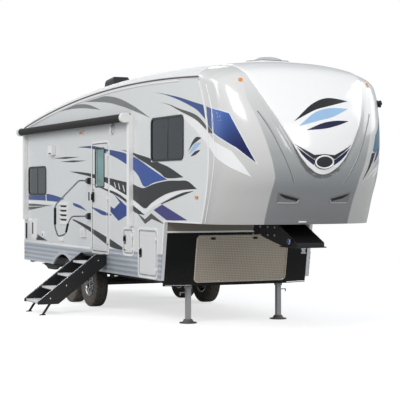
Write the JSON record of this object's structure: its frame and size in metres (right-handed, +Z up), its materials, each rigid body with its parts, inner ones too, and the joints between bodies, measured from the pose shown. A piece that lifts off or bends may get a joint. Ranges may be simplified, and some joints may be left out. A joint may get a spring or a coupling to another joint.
{
  "type": "fifth wheel trailer",
  "caption": "Tandem-axle living trailer with a raised nose over its coupling, a slide-out room, storage hatches and entry steps, parked on landing legs.",
  "frame": {"origin": "kingpin axis at the underside of the pin plate, 1.20 m over the ground", "axes": "+X forward, +Y to the road side, +Z up"},
  "size_m": [9.3866, 3.714, 4.0566],
  "materials": {
    "wall": "satin laminated wall panel",
    "cap": "gelcoat",
    "roof": "roof membrane",
    "frame": "black chassis paint",
    "front_black": "black",
    "skirt": "ribbed sheet",
    "guard": "embossed sheet",
    "trim": "white",
    "glass": "dark tint",
    "door_glass": "tinted",
    "window_frame": "black",
    "fitting": "white moulding",
    "vent": "dark moulding",
    "lamp": "amber and red lenses",
    "awning": "charcoal roll",
    "step": "black powder coat",
    "leg": "grey steel",
    "bright": "bright steel",
    "grip": "polished tube",
    "tyre": "rubber",
    "alloy": "machined",
    "floor": "floor panel",
    "cooler": "dark cover"
  },
  "bodies": {
    "body": {"frame_rails": "frame", "cross_members": "frame", "rear_bumper": "frame", "belly_sheet": "vent", "main_floor": "floor", "front_deck": "floor", "storage_floor": "floor", "bulkhead": "wall", "curb_wall": "wall", "road_wall": "wall", "rear_wall": "wall", "front_wall": "front_black", "front_cap": "cap", "roof": "roof", "side_skirts": "skirt", "fender_lips": "skirt", "edge_trims": "trim", "front_guard": "guard", "pin_box": "frame", "kingpin": "bright", "window_frames": "window_frame", "window_glass": "glass", "door_frames": "trim", "wall_fittings": "fitting", "vent_grilles": "vent", "lamps": "lamp", "awning_arms": "trim", "awning_roller": "awning", "step_stringers": "step", "step_treads": "step", "landing_legs": "leg", "leg_feet": "frame", "scissor_jacks": "frame", "axles": "frame", "leaf_springs": "frame", "roof_coolers": "cooler", "roof_vents": "fitting", "ladder": "grip"},
    "entry_door": {"entry_door": "wall", "door_glass": "door_glass"},
    "curb_hatch": {"curb_hatch": "wall"},
    "small_hatch": {"small_hatch": "wall"},
    "road_hatch": {"road_hatch": "wall"},
    "grab_handle": {"grab_handle": "grip"},
    "slide_room": {"slide_room": "wall", "slide_window": "glass"},
    "wheel_curb_front": {"tyre_curb_front": "tyre", "rim_curb_front": "alloy"},
    "wheel_curb_rear": {"tyre_curb_rear": "tyre", "rim_curb_rear": "alloy"},
    "wheel_road_front": {"tyre_road_front": "tyre", "rim_road_front": "alloy"},
    "wheel_road_rear": {"tyre_road_rear": "tyre", "rim_road_rear": "alloy"}
  },
  "joints": [
    {"name": "curb_front_wheel_turn", "type": "hinge", "parent": "body", "child": "wheel_curb_front", "pos_m": [-5.34, -1.055, -0.8], "axis": [0, 1, 0], "continuous": true},
    {"name": "curb_rear_wheel_turn", "type": "hinge", "parent": "body", "child": "wheel_curb_rear", "pos_m": [-6.31, -1.055, -0.8], "axis": [0, 1, 0], "continuous": true},
    {"name": "road_front_wheel_turn", "type": "hinge", "parent": "body", "child": "wheel_road_front", "pos_m": [-5.34, 1.055, -0.8], "axis": [0, 1, 0], "continuous": true},
    {"name": "road_rear_wheel_turn", "type": "hinge", "parent": "body", "child": "wheel_road_rear", "pos_m": [-6.31, 1.055, -0.8], "axis": [0, 1, 0], "continuous": true},
    {"name": "entry_door_swing", "type": "hinge", "parent": "body", "child": "entry_door", "pos_m": [-4.165, -1.27, 0.6], "axis": [0, 0, 1], "range_deg": [0, 165]},
    {"name": "curb_hatch_swing", "type": "hinge", "parent": "body", "child": "curb_hatch", "pos_m": [-2.18, -1.27, -0.16], "axis": [0, 0, 1], "range_deg": [0, 165]},
    {"name": "small_hatch_swing", "type": "hinge", "parent": "body", "child": "small_hatch", "pos_m": [-3.11, -1.27, -0.02], "axis": [0, 0, 1], "range_deg": [0, 110]},
    {"name": "road_hatch_swing", "type": "hinge", "parent": "body", "child": "road_hatch", "pos_m": [-2.18, 1.27, -0.16], "axis": [0, 0, -1], "range_deg": [0, 165]},
    {"name": "grab_handle_swing", "type": "hinge", "parent": "body", "child": "grab_handle", "pos_m": [-5.04, -1.307, 0.65], "axis": [0, 0, 1], "range_deg": [-90, 0]},
    {"name": "slide_room_out", "type": "slide", "parent": "body", "child": "slide_room", "axis": [0, 1, 0], "range_m": [0, 0.84]}
  ]
}
